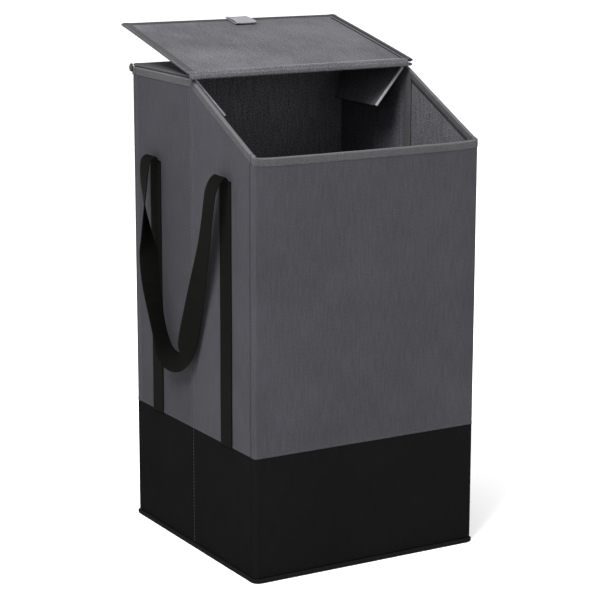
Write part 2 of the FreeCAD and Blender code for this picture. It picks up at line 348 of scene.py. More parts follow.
def corner_arc(x, y, radius, start, turns):
    """A quarter turn round (x, y) from start degrees, anticlockwise."""
    bends = [math.radians(start + 90 * i / turns) for i in range(turns + 1)]
    return [(x + radius * math.cos(turn), y + radius * math.sin(turn)) for turn in bends]


def rectangle(left, right, near, far):
    return [(left, near, 0), (right, near, 0), (right, far, 0), (left, far, 0)]


def as_it_is(point):
    return point


def hold(piece, body, slot, *nodes):
    """The piece rides on a body and stands for these CAD nodes, which are hidden. slot is not used."""
    if nodes:
        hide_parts(*nodes)
    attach(piece, body)
    return piece


# --------------------------------------------------------- plan of the walls

def straight(start, end):
    steps = max(2, int(round(math.dist(start, end) / SPACING)) + 1)
    return [np.array(start) + (np.array(end) - np.array(start)) * i / (steps - 1) for i in range(steps)]


def end_wall_path(side):
    """Plan of the front (-1) or back (+1) wall, left to right as seen from outside."""
    radius, corners = CORNER_RADIUS, []
    for across in (side, -side):
        start = math.atan2(0, across) if across == side else math.atan2(side, 0)
        arc = corner_arc(across * (HALF_WIDTH - radius), side * (HALF_DEPTH - radius), radius,
                         math.degrees(start), 5)
        corners.append([np.array(point) for point in arc])
    first = (side * HALF_WIDTH, side * CORNER_FOLD)
    last = (-side * HALF_WIDTH, side * CORNER_FOLD)
    middle = straight(corners[0][-1], corners[1][0])[1:-1]
    return np.array([np.array(first), *corners[0], *middle, *corners[1], np.array(last)])


def side_path(side, half):
    """Plan of half a side wall, left to right as seen from outside."""
    ends = [half * (CORNER_FOLD - 2 * FOLD_GAP), half * FOLD_GAP]
    ends.sort(reverse=side < 0)
    return np.array(straight((side * HALF_WIDTH, ends[0]), (side * HALF_WIDTH, ends[1])))


def outward(path):
    tangent = unit_rows(np.gradient(path, axis=0))
    return np.stack([tangent[:, 1], -tangent[:, 0]], 1)


def lengths(path):
    steps = np.linalg.norm(np.diff(path, axis=0), axis=1)
    return np.concatenate([[0], np.cumsum(steps)])


def rim_height(path):
    """Height of the rim over each point of a plan: level at the back, then sloping to the front."""
    before_corner = path[:, 1] + HALF_DEPTH
    middle = len(path) // 2
    if path[middle, 1] < -HALF_DEPTH * 0.9:
        along = lengths(path)
        before_corner = CORNER_FOLD_TO_FRONT - np.minimum(along, along[-1] - along)
    drop = (np.sqrt(before_corner ** 2 + RIM_SWEEP ** 2) + before_corner) / 2
    return np.minimum(REAR_RIM, FRONT_RIM + RIM_SLOPE * drop)


WALLS = {
    "front": (end_wall_path(-1), "front_wall"),
    "back": (end_wall_path(1), "root"),
    "left_rear": (side_path(-1, 1), "left_rear_half"),
    "left_front": (side_path(-1, -1), "left_front_half"),
    "right_rear": (side_path(1, 1), "right_rear_half"),
    "right_front": (side_path(1, -1), "right_front_half"),
}


def wall_grid(path, bottom, top):
    """Heights and distances over a wall, as rows from bottom to top."""
    rows = int(np.ceil((np.max(top) - bottom) / 0.006)) + 1
    share = np.linspace(0, 1, rows)[:, None]
    heights = bottom + share * (np.broadcast_to(top, len(path)) - bottom)
    along = np.broadcast_to(lengths(path), heights.shape)
    return heights, along


def wall_points(path, heights, offset):
    normals = outward(path)
    flat = path[None, :, :] + normals[None, :, :] * offset[..., None]
    return np.concatenate([flat, heights[..., None]], -1)


def edge_distance(heights, along):
    near = np.minimum(heights - heights[0], heights[-1] - heights)
    return np.minimum(near, np.minimum(along, along.max() - along))


def wall_sheet(name, path, bottom, top, material, swell, inside=False, seed=1, hem=0.0):
    """One cloth of a wall, with the slight swell and ripples that loose cloth over a board has."""
    heights, along = wall_grid(path, bottom, top)
    flat = wall_points(path, heights, np.zeros_like(heights))
    calm = fade(edge_distance(heights, along), 0.035)
    if abs(path[0, 0] - path[-1, 0]) < WALL and not inside:
        for low, high in STRAPS.values():
            aside = np.abs(path[:, 1] - (low[1] + high[1]) / 2) - STRAP_WIDTH / 2 - 0.003
            calm = calm * fade(aside, 0.022)[None, :]
    ripple = 0.55 + 0.9 * crumple(flat * [1, 1, 0.45], 0.075, seed) + 0.35 * crumple(flat, 0.022, seed + 3)
    offset = calm * swell * np.clip(ripple, 0, 1.6)
    offset = offset + hem * (1 - fade(heights - heights[0], 0.0045))
    if inside:
        front = wall_points(path, heights, -WALL - offset)
        back = wall_points(path, heights, np.full_like(heights, -WALL + SKIN))
    else:
        front = wall_points(path, heights, offset + 0.0001)
        back = wall_points(path, heights, np.full_like(heights, -SKIN))
    return shell(name, front, back, np.stack([along, heights], -1), material)


def tape_profile(thick=TAPE_THICKNESS, turns=8):
    """U-shaped tape over a rim: offsets from the outer face and heights from the rim."""
    middle, half = -WALL / 2, WALL / 2

    def arch(half_width, base, rise, a):
        across = math.copysign(abs(math.cos(a)) ** 0.7, math.cos(a))
        return middle + half_width * across, base + rise * math.sin(a) ** 0.7

    outer = [arch(half + thick, -0.0020, 0.0020, a) for a in np.linspace(0, math.pi, turns + 1)]
    inner = [arch(half, -0.0024, 0.0018, a) for a in np.linspace(math.pi, 0, turns + 1)]
    low_out, low_in = (half + middle + thick, -TAPE_HEIGHT), (middle - half - thick, -TAPE_HEIGHT)
    low_core_in, low_core_out = (middle - half, -TAPE_HEIGHT), (middle + half, -TAPE_HEIGHT)
    return [low_out, *outer, low_in, low_core_in, *inner, low_core_out]


def rim_tape(name, path, setback):
    """Tape folded over a wall's rim. It starts a little back from a corner fold."""
    tops, normals, along = rim_height(path), outward(path), lengths(path)
    wobble = [0.00025 * noise.noise(Vector((s * 40, 3.1, 0.7))) for s in along]
    rings = []
    for point, normal, top, shift in zip(path, normals, tops, wobble):
        rings.append([(*(point + normal * (d + (shift if d > 0 else 0))), top + h + shift)
                      for d, h in tape_profile()])
    rings = np.array(rings)
    if setback:
        which = 0 if abs(path[0][1]) > abs(path[-1][1]) else -1
        inward = np.sign(path[len(path) // 2][1] - path[which][1])
        rings[which, :, 1] += inward * setback
    return sweep(name, rings, SPACING, RIM_TAPE)


def stitches(name, lines, material, length=0.0026, gap=0.0014, radius=0.00028):
    """Rows of thread: each line is (points, normals), and each stitch a small sunk bead."""
    vertices, faces, uvs = [], [], []
    profile = ((-0.5, 0.15), (-0.36, 0.85), (0.0, 1.0), (0.36, 0.85), (0.5, 0.15))
    sides = 5
    for points, normals in lines:
        points, normals = np.asarray(points, float), np.asarray(normals, float)
        along = lengths(points)
        for middle in np.arange(length, along[-1] - length / 2, length + gap):
            centre = np.array([np.interp(middle, along, points[:, k]) for k in range(3)])
            ahead = np.array([np.interp(middle + length / 3, along, points[:, k]) for k in range(3)])
            tangent = (ahead - centre) / max(np.linalg.norm(ahead - centre), 1e-9)
            normal = np.array([np.interp(middle, along, normals[:, k]) for k in range(3)])
            across = np.cross(tangent, normal)
            first = len(vertices)
            for shift, size in profile:
                for k in range(sides):
                    turn = 2 * math.pi * k / sides
                    vertices.append(centre + tangent * shift * length + radius * size
                                    * (across * math.cos(turn) + normal * math.sin(turn)))
                    uvs.append((middle + shift * length, turn * radius))
            for ring in range(len(profile) - 1):
                for k in range(sides):
                    a, b = first + ring * sides + k, first + ring * sides + (k + 1) % sides
                    faces.append((a, a + sides, b + sides, b))
            faces.append(tuple(first + k for k in range(sides)))
            last = first + (len(profile) - 1) * sides
            faces.append(tuple(last + k for k in reversed(range(sides))))
    return build(name, vertices, faces, uvs, material, 80)


def wall_line(path, heights, offset):
    """A line over a wall at given heights, with its outward normals."""
    normals = outward(path)
    sign = 1 if offset > -WALL / 2 else -1
    points = np.column_stack([path + normals * offset, np.broadcast_to(heights, len(path))])
    return points, np.column_stack([normals * sign, np.zeros(len(path))])


def make_walls():
    for seed, (name, (path, body)) in enumerate(WALLS.items(), start=1):
        top = rim_height(path)
        # the rear halves take the darker grey canvas: painted shade
        cloth = PAINTED_SHADE_GREY if name.endswith("_rear") else GREY
        outer = wall_sheet(f"{name}_cloth", path, SEAM, top - 0.001, cloth, 0.0018, seed=seed, hem=0.0005)
        hold(outer, body, "grey_cloth", f"{name}_outer_cloth")
        band = wall_sheet(f"{name}_band", path, WALL_BASE, SEAM + 0.0002, BLACK, 0.0009, seed=seed + 11)
        hold(band, body, "black_cloth", f"{name}_lower_band")
        lining = wall_sheet(f"{name}_inner_cloth", path, WALL_BASE + 0.0005, top - 0.001, INSIDE, 0.0003,
                            inside=True, seed=seed + 21)
        hold(lining, body, "lining_cloth", f"{name}_lining")
        setback = 0 if name in ("front", "back") else 0.0012
        hold(rim_tape(f"{name}_rim_tape", path, setback), body, "rim_tape", f"{name}_rim_binding")
        inner_path = path[2:-2]
        tape_foot = top[2:-2] - TAPE_HEIGHT
        rows = [wall_line(inner_path, tape_foot + 0.0018, TAPE_THICKNESS)]
        hold(stitches(f"{name}_rim_stitches", rows, GREY_THREAD), body, "rim_tape")
        rows = [wall_line(inner_path, tape_foot + rise, -WALL - TAPE_THICKNESS)
                for rise in (0.0015, -0.0012)]
        hold(stitches(f"{name}_inner_rim_stitches", rows, BLACK_THREAD, 0.0036, 0.0004, 0.0006),
             body, "rim_tape")
        seam_rows = [wall_line(inner_path, SEAM + 0.0024, 0.00075)]
        hold(stitches(f"{name}_seam_stitches", seam_rows, GREY_THREAD), body, "grey_cloth")


def make_front_board():
    """The front wall's stiffener, following the swept rim that the cloth over it has."""
    path, body = WALLS["front"]
    heights, along = wall_grid(path, WALL_BASE + 0.003, rim_height(path) - 0.0022)
    faces = [wall_points(path, heights, np.full_like(heights, -depth)) for depth in (0.0009, 0.0031)]
    board = shell("front_board", *faces, np.stack([along, heights], -1), BOARD)
    hold(board, body, "stiffener_board", "front_stiffener")


def fold_strip(name, x, y, bottom, top, material, width=0.0065, lift=0.0015):
    """A strip of the walls' own cloth, which carries it across a fold."""
    spots = np.array([-1, -0.75, -0.45, -0.2, -0.08, 0, 0.08, 0.2, 0.45, 0.75, 1]) * width
    heave = np.array([0, 0.45, 0.8, 1.0, 0.5, -0.15, 0.5, 1.0, 0.8, 0.45, 0]) * lift
    away = math.copysign(1, x)
    heights = np.linspace(bottom, top, int((top - bottom) / 0.012) + 2)
    front = np.array([[(x + away * (0.0002 + rise), y + spot, z) for spot, rise in zip(spots, heave)]
                      for z in heights])
    back = front.copy()
    back[..., 0] = x - away * 0.0003
    return shell(name, front, back, front[..., 1:3].copy(), material)


def join_fold(strip, bodies):
    """A strip with one body rides on it; a strip between two bodies is left where it is, on no body."""
    if len(bodies) == 1:
        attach(strip, bodies[0])
        return
    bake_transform(strip)


def seam_row(name, x, y, above_base, top, facing, thread, size, body, slot):
    """One upright row of stitches, from a little above the walls' foot to top."""
    line = [(x, y, z) for z in (WALL_BASE + above_base, top)]
    hold(stitches(name, [(line, [(facing, 0, 0)] * 2)], thread, *size), body, slot)


def make_fold(name, side, along, bodies):
    """Strips and stitches at one fold: along is 1 at the rear corner, 0 in the middle, -1 in front."""
    x, y = side * HALF_WIDTH, along * CORNER_FOLD
    top = REAR_RIM + RIM_SLOPE * min(y, 0) - TAPE_HEIGHT - 0.0005
    band = fold_strip(f"{name}_fold_band", x, y, WALL_BASE + 0.0006, SEAM - 0.0003, BLACK)
    join_fold(band, bodies)
    cloth = fold_strip(f"{name}_fold_cloth", x, y, SEAM + 0.0003, top, GREY)
    join_fold(cloth, bodies)
    if along < 0:
        seam_row(f"{name}_stitches", x + side * 0.0018, y + 0.0016, 0.001, top, side,
                 BLACK_THREAD, (0.003, 0.0014), bodies[-1], "grey_cloth")
    if along:
        return
    inner_x = side * (HALF_WIDTH - WALL - 0.0004)
    spots = np.linspace(-0.0165, 0.0016, 9)
    rise = 0.0008 * np.sin(np.linspace(0, math.pi, 9)) ** 0.5
    heights = np.linspace(WALL_BASE + 0.003, top, 50)
    outer = np.array([[(inner_x - side * (0.0004 + r), spot, z) for spot, r in zip(spots, rise)]
                      for z in heights])
    under = outer.copy()
    under[..., 0] = inner_x + side * 0.0002
    cover = shell(f"{name}_inner_cover_strip", outer, under, outer[..., 1:3].copy(), TAPE)
    hold(cover, bodies[1], "lining_cloth")
    seam_row(f"{name}_inner_stitches", inner_x - side * 0.0006, -0.0172, 0.004, top, -side,
             BLACK_THREAD, (0.0034, 0.001, 0.0005), bodies[1], "lining_cloth")
    seam_row(f"{name}_fold_stitches", x + side * 0.0017, -0.0026, 0.001, top, side,
             GREY_THREAD, (0.0028, 0.002), bodies[1], "grey_cloth")


def make_folds():
    for side_name, side in SIDES:
        rear, front = f"{side_name}_rear_half", f"{side_name}_front_half"
        # the right front corner is the linkage's open pivot, so its strip keeps to the front wall
        at_front = (front, "front_wall") if side < 0 else ("front_wall",)
        for place, along, bodies in (("rear_corner", 1, ("root", rear)), ("middle", 0, (rear, front)),
                                     ("front_corner", -1, at_front)):
            make_fold(f"{side_name}_{place}", side, along, bodies)


# ----------------------------------------------------------- webbing handles

def ribbon_ring(centre, across, normal, width, thickness):
    """A flat oval section: two faces and rounded edges."""
    half, thin = width / 2, thickness / 2
    outline = [(-1, 0), (-0.96, 0.75), (-0.8, 1), (0, 1.05), (0.8, 1), (0.96, 0.75),
               (1, 0), (0.96, -0.75), (0.8, -1), (0, -1.05), (-0.8, -1), (-0.96, -0.75)]
    return [centre + across * half * u + normal * thin * v for u, v in outline]


def make_sewn_straps():
    for side_name, side in SIDES:
        for half_name, (low, high) in STRAPS.items():
            y = (low[1] + high[1]) / 2
            heights = np.linspace(SEAM - 0.001, STRAP_TOP + 0.001, 90)
            rings, lean = [], []
            for z in heights:
                shift = 0.0006 * noise.noise(Vector((y * 9, z * 11, side)))
                centre = np.array([side * (HALF_WIDTH + STRAP_STAND_OFF), y + shift, z])
                lean.append(y + shift)
                rings.append(ribbon_ring(centre, np.array([0, 1.0, 0]), np.array([side, 0, 0.0]),
                                         STRAP_WIDTH, STRAP_THICKNESS))
            strap = sweep(f"{side_name}_{half_name}_strap", rings, heights[1] - heights[0], WEBBING)
            body = f"{side_name}_{half_name}_half"
            hold(strap, body, "webbing", f"{side_name}_{half_name}_sewn_strap")
            face = side * (HALF_WIDTH + STRAP_STAND_OFF + STRAP_THICKNESS / 2)
            seam = STRAP_WIDTH / 2 - STRAP_SEAM_INSET
            lines = []
            for edge in (-1, 1):
                points = [(face, middle + edge * seam, z) for middle, z in zip(lean, heights)]
                lines.append((points, [(side, 0, 0)] * len(points)))
            for a, b in (((-1, 0), (1, 1)), ((1, 0), (-1, 1)), ((-1, 1), (1, 1)), ((-1, 0), (1, 0))):
                ends = [(face, y + u * seam, STRAP_TOP - STRAP_BOX_LOW + v * STRAP_BOX_HEIGHT)
                        for u, v in (a, b)]
                lines.append((ends, [(side, 0, 0)] * 2))
            threads = stitches(f"{side_name}_{half_name}_strap_stitches", lines, BLACK_THREAD)
            hold(threads, body, "webbing")


# The free webbing of the left handle, from the rear strap to the front one. Each station is
# the middle of the webbing (y, distance out from the wall, z) and the way its width points.
LOOP = [
    (0.1020, 0.0040, 0.5165, 0.00, 1.00, 0.00),
    (0.1018, 0.0080, 0.5215, 0.02, 1.00, 0.00),
    (0.1012, 0.0160, 0.516, 0.05, 1.00, 0.00),
    (0.1003, 0.0190, 0.501, 0.10, 0.99, 0.00),
    (0.0992, 0.0202, 0.480, 0.22, 0.96, 0.00),
    (0.0990, 0.0200, 0.450, 0.50, 0.86, -0.02),
    (0.0985, 0.0178, 0.415, 0.82, 0.56, -0.04),
    (0.0975, 0.0160, 0.388, 0.98, 0.16, -0.06),
    (0.0905, 0.0158, 0.350, 0.97, 0.12, -0.14),
    (0.0765, 0.0156, 0.308, 0.92, 0.34, -0.06),
    (0.0620, 0.0148, 0.276, 0.86, 0.44, 0.18),
    (0.0470, 0.0142, 0.260, 0.74, 0.42, 0.50),
    (0.0300, 0.0134, 0.2545, 0.55, 0.52, 0.64),
    (0.0090, 0.0134, 0.2600, 0.15, 0.66, 0.72),
    (-0.0080, 0.0142, 0.279, -0.42, 0.70, 0.58),
    (-0.0200, 0.0150, 0.304, -0.54, 0.73, 0.42),
    (-0.0300, 0.0154, 0.328, -0.50, 0.80, 0.32),
    (-0.0420, 0.0156, 0.362, -0.34, 0.90, 0.20),
    (-0.0530, 0.0158, 0.394, -0.16, 0.97, 0.08),
    (-0.0645, 0.0164, 0.426, -0.02, 1.00, 0.00),
    (-0.0750, 0.0178, 0.457, 0.04, 1.00, 0.00),
    (-0.0835, 0.0190, 0.483, 0.04, 1.00, 0.00),
    (-0.0895, 0.0190, 0.502, 0.03, 1.00, 0.00),
    (-0.0932, 0.0150, 0.5150, 0.00, 1.00, 0.00),
    (-0.0948, 0.0085, 0.5212, 0.00, 1.00, 0.00),
    (-0.0950, 0.0040, 0.5160, 0.00, 1.00, 0.00),
]


def smooth_through(rows, steps):
    """Points on a smooth curve through the rows, steps to each span."""
    rows = np.asarray(rows, float)
    padded = np.vstack([2 * rows[0] - rows[1], rows, 2 * rows[-1] - rows[-2]])
    points = []
    for i in range(1, len(padded) - 2):
        a, b, c, d = padded[i - 1:i + 3]
        for t in np.linspace(0, 1, steps, endpoint=False):
            points.append(0.5 * (2 * b + (c - a) * t + (2 * a - 5 * b + 4 * c - d) * t ** 2
                                 + (3 * b - a - 3 * c + d) * t ** 3))
    return np.array(points + [rows[-1]])


def make_handles():
    rows = smooth_through(LOOP, 7)
    for side_name, side in SIDES:
        centres = np.column_stack([side * (HALF_WIDTH + rows[:, 1]), rows[:, 0], rows[:, 2]])
        across = np.column_stack([-side * rows[:, 3], rows[:, 4], rows[:, 5]])
        tangents = unit_rows(np.gradient(centres, axis=0))
        across = unit_rows(across - tangents * np.sum(across * tangents, axis=1)[:, None])
        normals = np.cross(tangents, across)
        rings = [ribbon_ring(*station, STRAP_WIDTH, LOOP_THICKNESS)
                 for station in zip(centres, across, normals)]
        loop = sweep(f"{side_name}_handle", rings, 0.0045, WEBBING, smooth_angle=60)
        hold(loop, f"{side_name}_handle", "webbing", f"{side_name}_handle_loop")
        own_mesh(loop)


# ------------------------------------------------------------ flat panels

def quad_grid(corners, steps):
    """A grid over four corners given in order round the panel, and distances from its edges."""
    a, b, c, d = (np.array(corner, float) for corner in corners)
    u = np.linspace(0, 1, steps[0])[None, :, None]
    v = np.linspace(0, 1, steps[1])[:, None, None]
    points = (a * (1 - u) + b * u) * (1 - v) + (d * (1 - u) + c * u) * v
    width, length = np.linalg.norm(b - a), np.linalg.norm(d - a)
    across, along = u[..., 0] * width + 0 * v[..., 0], v[..., 0] * length + 0 * u[..., 0]
    near = np.minimum(np.minimum(across, width - across), np.minimum(along, length - along))
    return points, near, np.stack([across, along], -1)


def panel_sheet(name, corners, steps, normal, low, high, material, swell=0.0, seed=5, size=0.08):
    """A sheet over four corners between two heights along normal. swell lifts its middle."""
    points, near, uv = quad_grid(corners, steps)
    normal = np.array(normal, float)
    ripple = 0.6 + 0.8 * crumple(points, size, seed) + 0.3 * crumple(points, size / 4, seed + 2)
    lift = fade(near, 0.03) * swell * np.clip(ripple, 0, 1.5)
    rounding = -0.0004 * (1 - fade(near, 0.003)) * np.sign(high - low)
    front = points + normal * (high + lift + rounding)[..., None]
    back = points + normal * (low - rounding)[..., None]
    return shell(name, front, back, uv, material)


def frame_tape(name, half_x, near_y, far_y, low, high, place, upper_width, sides=4, edge_share=1.0,
               thick=0.0003):
    """Tape round four edges of a flat panel, or all but its near edge, as a U open to its middle."""
    radius = 0.0014
    closed = sides == 4
    right, left, far, near = half_x - radius, -half_x + radius, far_y - radius, near_y + radius
    centres = ((right, far, 0), (left, far, 90), (left, near, 180), (right, near, 270))
    plan = []
    for x, y, start in centres if closed else centres[:2]:
        plan += corner_arc(x, y, radius, start, 3)
    plan = plan + plan[:1] if closed else [(half_x, near_y), *plan, (-half_x, near_y)]
    dense = filled_in(plan, 0.006)
    if not closed:
        dense.append(np.array(plan[-1]))
    dense = np.array(dense)
    ahead = np.roll(dense, -1, 0) - np.roll(dense, 1, 0) if closed else np.gradient(dense, axis=0)
    ahead = unit_rows(ahead)
    normals = np.stack([ahead[:, 1], -ahead[:, 0]], 1)
    middle, half = (low + high) / 2, (high - low) / 2
    core = half - 0.0007
    edge = half * edge_share
    bend = [(-half + half * math.cos(a), middle + edge * math.sin(a)) for a in np.linspace(-1.4, 1.4, 7)]
    profile = [(-TAPE_HEIGHT, low - thick / 2), (-half * 2.2, low - thick), *bend,
               (-half * 2.2, high + thick), (-upper_width, high + thick / 2), (-upper_width, high - 0.0007),
               (-half * 1.6, middle + core), (-half * 1.6, middle - core), (-TAPE_HEIGHT, low + 0.0007)]
    rings = []
    for index, (point, normal) in enumerate(zip(dense, normals)):
        wobble = 0.0004 * noise.noise(Vector((index * 0.11, low * 900, 2.0)))
        rings.append([place((*(point + normal * (d + (wobble if d <= -upper_width else 0))), h))
                      for d, h in profile])
    return sweep(name, rings, 0.006, TAPE, closed=closed)


def ring_line(half_x, near_y, far_y, inset, height, up, place):
    """A closed line inside a flat panel's edges, with the way up."""
    x, low, high = half_x - inset, near_y + inset, far_y - inset
    corners = [(x, low), (x, high), (-x, high), (-x, low), (x, low)]
    points = []
    for here, there in zip(corners, corners[1:]):
        points += [place((*(np.array(here) + (np.array(there) - np.array(here)) * t), height))
                   for t in np.linspace(0, 1, 12, endpoint=False)]
    points.append(place((*corners[-1], height)))
    way = np.array(place((0, 0, up)), float) - np.array(place((0, 0, 0)), float)
    way /= np.linalg.norm(way)
    return points, [way] * len(points)


def on_lid(point):
    """A place on the open lid: x across, y from its hinge line, z off its hinge plane."""
    x, y, z = point
    share = y / LID_FAR
    left = max(0.0, -x / LID_HALF)
    z = z - share * (LID_SAG + LID_TWIST * x / LID_HALF) + LID_BOW * math.sin(math.pi * share)
    z = z - LID_LEFT_DROP * left * (1 - share)
    x = x - left * (LID_LEFT_SPREAD - LID_LEFT_TAPER * share)
    return (x, LID_ORIGIN[1] + y * math.cos(LID_RISE) - z * math.sin(LID_RISE),
            LID_ORIGIN[2] + y * math.sin(LID_RISE) + z * math.cos(LID_RISE))


def grid_on_lid(points):
    return np.array([on_lid(point) for point in points.reshape(-1, 3)]).reshape(points.shape)


def lid_sheet(name, low, high, material, swell, seed):
    half, near, far = LID_HALF - 0.001, LID_NEAR + 0.001, LID_FAR - 0.001
    points, edge, uv = quad_grid(rectangle(-half, half, near, far), (60, 40))
    ripple = 0.6 + 0.8 * crumple(points, 0.09, seed) + 0.3 * crumple(points, 0.02, seed + 1)
    lift = fade(edge - TAPE_HEIGHT, 0.04) * swell * np.clip(ripple, 0, 1.5)
    front, back = points.copy(), points.copy()
    front[..., 2], back[..., 2] = high + lift, low
    return shell(name, grid_on_lid(front), grid_on_lid(back), uv, material)


def make_lid():
    # the lid's upper cloth uses the lighter canvas, partly painted light
    upper = lid_sheet("lid_top_cloth", LID_HIGH - 0.0011, LID_HIGH - 0.0004, PAINTED_LIGHT_LID_GREY, 0.0008, 3)
    hold(upper, "lid", "lining_cloth", "lid_lining")
    under = lid_sheet("lid_under_cloth", LID_LOW + 0.0011, LID_LOW + 0.0004, GREY, -0.0006, 6)
    hold(under, "lid", "grey_cloth", "lid_outer_cover")
    tape = frame_tape("lid_edge_tape", LID_HALF, LID_NEAR, LID_FAR, LID_LOW, LID_HIGH, on_lid, TAPE_HEIGHT,
                      sides=3, edge_share=0.45)
    hold(tape, "lid", "rim_tape", "lid_binding")
    way = np.array([0, -math.sin(LID_RISE), math.cos(LID_RISE)])
    stops, thread_z = 12, LID_HIGH + 0.0003

    def edge_row(x, far_inset):
        ys = np.linspace(LID_NEAR, LID_FAR - far_inset, stops)
        return [on_lid((x, y, thread_z)) for y in ys], [way] * stops

    rows = [edge_row(LID_HALF - inset, inset) for inset in (0.0090, 0.0165)]
    far = [on_lid((x, LID_FAR - 0.0052, thread_z)) for x in np.linspace(-LID_HALF, LID_HALF, stops)]
    rows.append((far, [way] * stops))
    hold(stitches("lid_upper_stitches", rows, BLACK_THREAD, 0.0042, 0.0003, 0.0007), "lid", "rim_tape")
    rows = [edge_row(-LID_HALF + 0.0085, 0.009)]
    hold(stitches("lid_left_stitches", rows, GREY_THREAD), "lid", "rim_tape")
    rows = [ring_line(LID_HALF, LID_NEAR, LID_FAR, TAPE_HEIGHT - 0.0018, LID_LOW - 0.0002, -1, on_lid)]
    hold(stitches("lid_under_stitches", rows, BLACK_THREAD), "lid", "rim_tape")
    corners = rectangle(-LID_HALF + 0.002, LID_HALF - 0.002, LID_NEAR + 0.005, LID_FAR - 0.002)
    plan, _, uv = quad_grid(corners, (30, 20))
    faces = []
    for height in (LID_HIGH - 0.0012, LID_LOW + 0.0012):
        plan[..., 2] = height
        faces.append(grid_on_lid(plan))
    hold(shell("lid_stiffener", *faces, uv, BOARD), "lid", "stiffener_board", "lid_board")
    over = []
    for x in np.arange(-LID_HALF + 0.001, LID_HALF - 0.012, 0.0026):
        over.append(([on_lid((x, LID_NEAR - 0.0022, LID_HIGH + 0.0001)),
                      on_lid((x + 0.0006, LID_NEAR + 0.0052, LID_HIGH + 0.0006))], [way] * 2))
    hold(stitches("lid_overlock_stitches", over, PALE_THREAD, 0.0042, 0.0, 0.0004), "lid", "rim_tape")


def make_lid_hinge():
    """Cloth from under the top panel's front edge to the lid's near edge."""
    panel_low, panel_high = box("top_panel_binding")
    front = panel_low[1]
    line = [(0, front + 0.0080, panel_low[2] + 0.0002), (0, front + 0.0010, panel_low[2] - 0.0001),
            (0, front - 0.0008, panel_low[2] + 0.0010), (0, front - 0.0011, panel_high[2] - 0.001),
            (0, front - 0.0010, panel_high[2] + 0.0012), on_lid((0, 0.0004, LID_HIGH * 0.55)),
            on_lid((0, 0.0016, LID_HIGH + 0.0001)), on_lid((0, 0.0052, LID_HIGH + 0.0003))]
    line = smooth_through(line, 5)
    tangents = unit_rows(np.gradient(line, axis=0))
    normals = np.stack([0 * tangents[:, 0], -tangents[:, 2], tangents[:, 1]], 1)
    xs = np.linspace(-LID_HALF - 0.0058, LID_HALF - 0.0105, 120)
    along = lengths(line)
    outer, inner, uv = [], [], []
    for x in xs:
        pucker = 0.00025 * noise.noise(Vector((x * 60, 2.0, 5.0)))
        shift = np.array([x, 0, 0])
        outer.append(line + shift + normals * (0.0003 + pucker))
        inner.append(line + shift - normals * 0.0003)
        uv.append([(x, s) for s in along])
    # the hinge cloth uses the same lighter canvas, partly painted light
    cloth = shell("lid_hinge_cloth", np.array(outer), np.array(inner), np.array(uv), PAINTED_LIGHT_LID_GREY)
    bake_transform(cloth)


def make_pull_tab():
    """A folded strip of tape, sewn to the lid's free edge."""
    low, high = box("lid_pull_tab")
    middle, half = (low[0] + high[0]) / 2 - 0.0015, (high[0] - low[0]) / 2 + 0.0028
    far = LID_FAR - 0.0016
    tip = far - TAB_LENGTH
    top = LID_HIGH + 0.0011
    path = [(far, top), (far - 0.010, top), (tip + 0.004, top + 0.0001), (tip, top + 0.0014),
            (tip + 0.002, top + 0.0029), (tip + 0.010, top + 0.0031),
            (far - 0.012, top + 0.0024), (far - 0.001, top + 0.0013)]
    path = smooth_through(path, 6)
    columns = np.linspace(-1, 1, 13)
    thickness = 0.0005
    front, back, uv = [], [], []
    tangents = unit_rows(np.gradient(path, axis=0))
    for (y, z), (ty, tz), along in zip(path, tangents, lengths(path)):
        normal = np.array([0, -tz, ty])
        row = [np.array([middle + half * c, y, z + 0.0006 * c * c]) for c in columns]
        front.append([on_lid(point - normal * thickness) for point in row])
        back.append([on_lid(point + normal * thickness) for point in row])
        uv.append([(half * c, along) for c in columns])
    tab = shell("pull_tab", np.array(front), np.array(back), np.array(uv), TAB)
    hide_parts("lid_pull_tab")
    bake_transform(tab)


def make_top_panel():
    low, high = box("top_panel_binding")
    half_x, near_y, far_y = high[0], low[1], high[1]
    corners = rectangle(-half_x + 0.001, half_x - 0.001, near_y + 0.001, far_y - 0.001)
    # the top panel's cloth is the lighter grey canvas: painted light
    upper = panel_sheet("top_panel_cloth", corners, (60, 36), (0, 0, 1), low[2] + 0.0004, high[2] - 0.0003,
                        PAINTED_LIGHT_TOP_GREY, 0.0004)
    hold(upper, "top_panel", "grey_cloth", "top_panel_cover")
    tape = frame_tape("top_panel_tape", half_x, near_y, far_y, low[2] + 0.0003, high[2] - 0.0003,
                      as_it_is, TAPE_HEIGHT)
    hold(tape, "top_panel", "rim_tape", "top_panel_binding")
    rows = [ring_line(half_x, near_y, far_y, TAPE_HEIGHT - 0.0018, high[2], 1, as_it_is)]
    hold(stitches("top_panel_stitches", rows, GREY_THREAD), "top_panel", "rim_tape")


